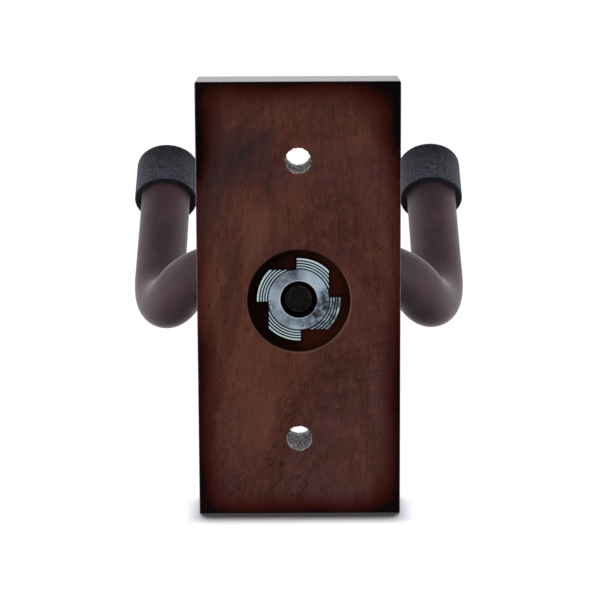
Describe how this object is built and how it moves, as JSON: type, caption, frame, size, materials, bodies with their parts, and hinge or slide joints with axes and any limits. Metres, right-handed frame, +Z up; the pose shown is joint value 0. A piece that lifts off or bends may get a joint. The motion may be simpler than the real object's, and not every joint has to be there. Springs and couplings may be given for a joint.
{
  "type": "wall guitar hanger",
  "caption": "Wall hanger for a guitar: a wooden back plate and a swivelling padded steel yoke whose two upturned arms hold the headstock.",
  "frame": {"origin": "on the stud's axis, in the plane of the plate's back face, which lies on the wall", "axes": "+Z up, +Y from the wall out into the room, +X to the right as seen from behind the plate"},
  "size_m": [0.1006, 0.1401, 0.112],
  "materials": {
    "stained_wood": "dark red-brown stain, near black at the edges, satin varnish",
    "zinc_plate": "bright zinc plate with turned rings and scratches",
    "black_steel": "blackened steel, satin",
    "sleeve_rubber": "dark plum-brown rubber tube, matte",
    "cap_rubber": "blue-black moulded rubber, fine texture, matte"
  },
  "bodies": {
    "plate": {"backplate": "stained_wood", "tee_nut": "zinc_plate"},
    "yoke": {"yoke_rod": "black_steel", "stud": "black_steel", "sleeve_left": "sleeve_rubber", "sleeve_right": "sleeve_rubber", "end_cap_left": "cap_rubber", "end_cap_right": "cap_rubber"},
    "washer": {"flat_washer": "zinc_plate"},
    "nut": {"jam_nut": "zinc_plate"}
  },
  "joints": [
    {"name": "yoke_swivel", "type": "hinge", "parent": "plate", "child": "yoke", "pos_m": [0, 0, 0], "axis": [0, 1, 0], "range_deg": [-90, 90]},
    {"name": "washer_slide", "type": "slide", "parent": "yoke", "child": "washer", "axis": [0, 1, 0], "range_m": [0, 0.0025]},
    {"name": "jam_nut_turn", "type": "hinge", "parent": "washer", "child": "nut", "pos_m": [0, 0, 0], "axis": [0, 1, 0], "range_deg": [0, 720.1]}
  ],
  "couplings": [
    {"joint": "jam_nut_turn", "follows": "washer_slide", "rad_per_m": 5026.5}
  ]
}
